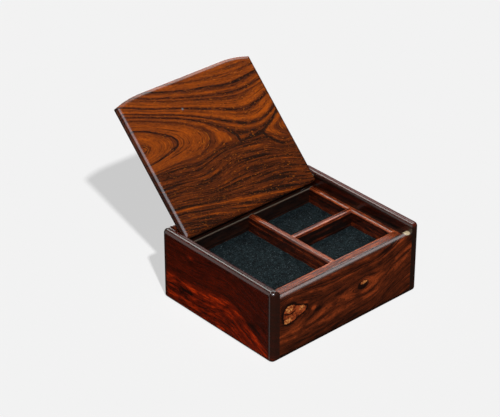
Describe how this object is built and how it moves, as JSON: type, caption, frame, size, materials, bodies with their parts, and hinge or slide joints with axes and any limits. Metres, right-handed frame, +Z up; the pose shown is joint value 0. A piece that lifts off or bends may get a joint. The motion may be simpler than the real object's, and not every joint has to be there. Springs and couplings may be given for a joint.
{
  "type": "cufflink display box",
  "caption": "Hardwood display box with a felt-lined divided tray and a bow-fronted lid that turns on hidden pins and leans back on the rounded rear wall.",
  "frame": {"origin": "centre of the underside of the box, on the surface it stands on", "axes": "+X to the right as seen from the front, +Y to the rear, where the lid is hinged, +Z up"},
  "size_m": [0.15, 0.1891, 0.1369],
  "materials": {
    "polished_rosewood": "hand-rubbed to a low polish",
    "tray_rosewood": "hand-rubbed to a low polish",
    "panel_wood": "plain sanded panel",
    "felt": "dark blue-green wool felt, cut edges",
    "hinge_pin": "drawn rod"
  },
  "bodies": {
    "case": {"bottom_panel": "panel_wood", "cross_divider": "tray_rosewood", "front_felt": "felt", "front_wall": "polished_rosewood", "left_felt": "felt", "left_hinge_pin": "hinge_pin", "left_ledge": "tray_rosewood", "left_side": "polished_rosewood", "long_divider": "tray_rosewood", "rear_felt": "felt", "rear_wall": "polished_rosewood", "right_hinge_pin": "hinge_pin", "right_ledge": "tray_rosewood", "right_side": "polished_rosewood", "tray_floor": "panel_wood", "tray_front_rail": "tray_rosewood", "tray_left_rail": "tray_rosewood", "tray_rear_rail": "tray_rosewood", "tray_right_rail": "tray_rosewood"},
    "lid": {"lid": "polished_rosewood"}
  },
  "joints": [
    {"name": "lid_hinge", "type": "hinge", "parent": "case", "child": "lid", "pos_m": [0, 0.0475, 0.0566], "axis": [1, 0, 0], "range_deg": [0, 135]}
  ]
}
